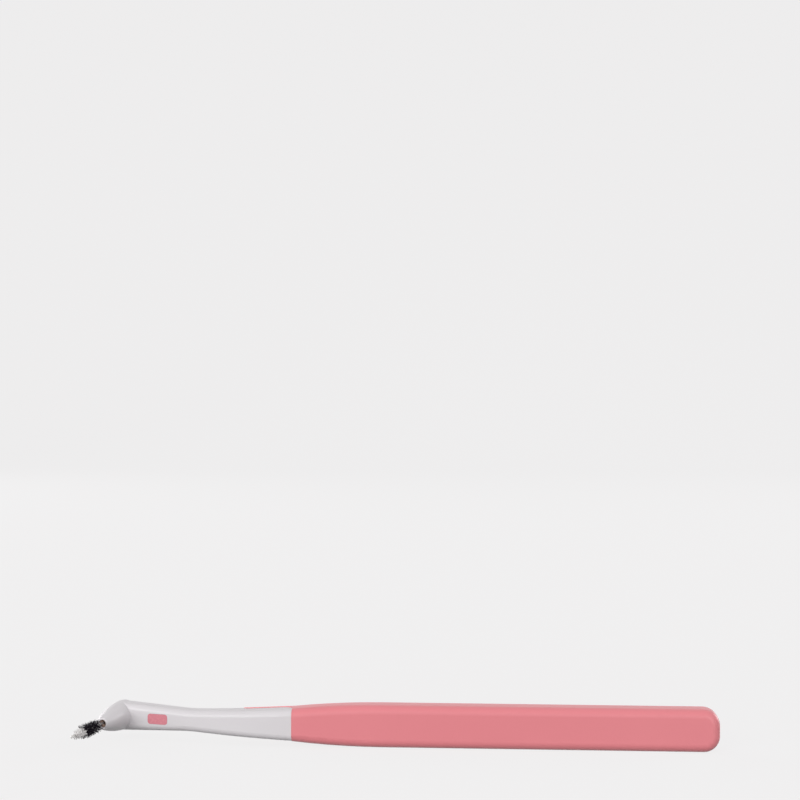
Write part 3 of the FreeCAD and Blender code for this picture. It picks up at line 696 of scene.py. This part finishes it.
@dataclass
class Studio:
    """Pale seamless floor, soft light and the camera, in metres and degrees.

    What is seen of the floor is mostly an even glow of ground_colour, and for the rest a lit board of
    floor_colour that takes the shadow. The light that the floor throws back follows bounce_colour.
    """

    floor_colour: Colour = (0.90, 0.89, 0.893)
    bounce_colour: Colour = (0.10, 0.097, 0.098)
    ground_colour: Colour = (0.893, 0.886, 0.888)
    ground_share: float = 0.92
    floor_half_width: float = 3.0
    floor_front: float = -1.5
    floor_back: float = 1.6
    sweep_radius: float = 0.8
    sweep_steps: int = 24
    wall_height: float = 1.6
    world_colour: Colour = (1.0, 0.99, 0.995)
    world_strength: float = 0.43
    lamps: tuple[Softbox, ...] = (
        Softbox("left_softbox", (-0.9, -1.2, 0.32), 12.6),
        Softbox("right_softbox", (0.7, -1.3, 0.32), 7.6),
        Softbox("high_back_softbox", (0.3, 1.2, 1.2), 0.6),
        Softbox("back_left_softbox", (-1.2, 1.0, 0.3), 11.0),
        Softbox("back_right_softbox", (1.2, 1.0, 0.3), 11.0),
    )
    lamp_target: Point = (0.0, 0.0, 0.0)
    focal_pixels: float = 1695.0
    image_pixels: float = 800.0
    sensor_millimetres: float = 36.0
    nearest_seen: float = 0.01
    camera_place: Point = (-0.00415, -0.4129, 0.0845)
    camera_turn: float = 4.2

    def build_floor(self) -> bpy.types.Object:
        """Sweeps the floor back and up into the backdrop.

        Returns:
            The floor.
        """
        bm = bmesh.new()
        ends = [bm.verts.new((side * self.floor_half_width, self.floor_front, 0)) for side in (-1, 1)]
        edge = bm.edges.new(ends)
        step = bmesh.ops.extrude_edge_only(bm, edges=[edge])
        self._shift(bm, step["geom"], (0, self.floor_back - self.floor_front, 0))
        bend = bmesh.ops.spin(
            bm, geom=[part for part in step["geom"] if not isinstance(part, bmesh.types.BMFace)],
            cent=(0, self.floor_back, self.sweep_radius), axis=(1, 0, 0), dvec=(0, 0, 0),
            angle=pi / 2, steps=self.sweep_steps,
        )
        last = [part for part in bend["geom_last"] if isinstance(part, bmesh.types.BMEdge)]
        wall = bmesh.ops.extrude_edge_only(bm, edges=last)
        self._shift(bm, wall["geom"], (0, 0, self.wall_height))
        bmesh.ops.recalc_face_normals(bm, faces=bm.faces)
        floor = mesh_object("floor", bm, self._floor_material())
        return floor

    @staticmethod
    def _shift(bm: bmesh.types.BMesh, geom: list[bmesh.types.BMVert | bmesh.types.BMEdge], by: Point) -> None:
        """Moves the vertices among some geometry."""
        verts = [part for part in geom if isinstance(part, bmesh.types.BMVert)]
        bmesh.ops.translate(bm, verts=verts, vec=by)

    def _floor_material(self) -> bpy.types.Material:
        """Builds a board that is seen as an even pale ground and throws little light back.

        Returns:
            The finished material.
        """
        material, tree, output = new_material("pale_floor")
        board = add_node(tree, "ShaderNodeBsdfDiffuse", Color=opaque(self.floor_colour))
        ground = add_node(tree, "ShaderNodeEmission", Color=opaque(self.ground_colour))
        dim = add_node(tree, "ShaderNodeBsdfDiffuse", Color=opaque(self.bounce_colour))
        shown = mix_shaders(tree, self.ground_share, board.outputs["BSDF"], ground.outputs["Emission"])
        surface = mix_shaders(tree, self._seen(tree), dim.outputs["BSDF"], shown)
        tree.links.new(surface, output.inputs["Surface"])
        return material

    @staticmethod
    def _seen(tree: Tree) -> Socket:
        """Tells what the camera sees, directly, in a reflection or through something clear.

        Args:
            tree: Tree that the nodes go into.

        Returns:
            A value that is 1 for such rays and 0 for the others.
        """
        ray = tree.nodes.new("ShaderNodeLightPath")
        seen = ray.outputs["Is Camera Ray"]
        for other in ("Is Glossy Ray", "Is Transmission Ray"):
            either = tree.nodes.new("ShaderNodeMath")
            either.operation = "MAXIMUM"
            tree.links.new(seen, either.inputs[0])
            tree.links.new(ray.outputs[other], either.inputs[1])
            seen = either.outputs[0]
        return seen

    def build_light(self) -> None:
        """Sets an even pale world and hangs the lamps, the strongest at the front left."""
        world = bpy.data.worlds.new("studio")
        world.use_nodes = True
        tree = world.node_tree
        light = tree.nodes["Background"]
        light.inputs["Color"].default_value = opaque(self.world_colour)
        light.inputs["Strength"].default_value = self.world_strength
        ground = add_node(tree, "ShaderNodeBackground", Color=opaque(self.ground_colour))
        surface = mix_shaders(
            tree, self._seen(tree), light.outputs["Background"], ground.outputs["Background"],
        )
        tree.links.new(surface, tree.nodes["World Output"].inputs["Surface"])
        bpy.context.scene.world = world
        for lamp in self.lamps:
            lamp.hang(self.lamp_target)

    def build_camera(self) -> bpy.types.Object:
        """Places the camera, level and a little above the brush.

        Returns:
            The camera.
        """
        lens = bpy.data.cameras.new("camera")
        lens.sensor_fit = "HORIZONTAL"
        lens.sensor_width = self.sensor_millimetres
        lens.lens = self.sensor_millimetres * self.focal_pixels / self.image_pixels
        lens.clip_start = self.nearest_seen
        camera = bpy.data.objects.new("camera", lens)
        camera.location = self.camera_place
        camera.rotation_euler = (pi / 2, 0, radians(self.camera_turn))
        bpy.context.scene.collection.objects.link(camera)
        bpy.context.scene.camera = camera
        return camera


def main() -> None:
    """Builds the finishes, the brush, the floor, the light and the camera in order."""
    logging.basicConfig(level=logging.INFO, format="%(message)s")
    groups = SurfaceGroups()
    MouldedHandle().dress(groups)
    axis = BrushAxis()
    wire = TwistedWire().build(axis, STEEL)
    LOG.info("%s: %d faces", wire.name, len(wire.data.polygons))
    for tuft in (BLACK_TUFT, WHITE_TUFT):
        piece = tuft.build(axis, groups)
        LOG.info("%s: %d filaments", piece.name, tuft.count)
    studio = Studio()
    floor = studio.build_floor()
    LOG.info("%s: %d faces", floor.name, len(floor.data.polygons))
    studio.build_light()
    LOG.info("light: %d lamps", len(studio.lamps))
    camera = studio.build_camera()
    LOG.info("%s: %.1f mm lens", camera.name, camera.data.lens)
    bpy.context.scene.view_settings.view_transform = "Standard"


if __name__ == "__main__":
    main()
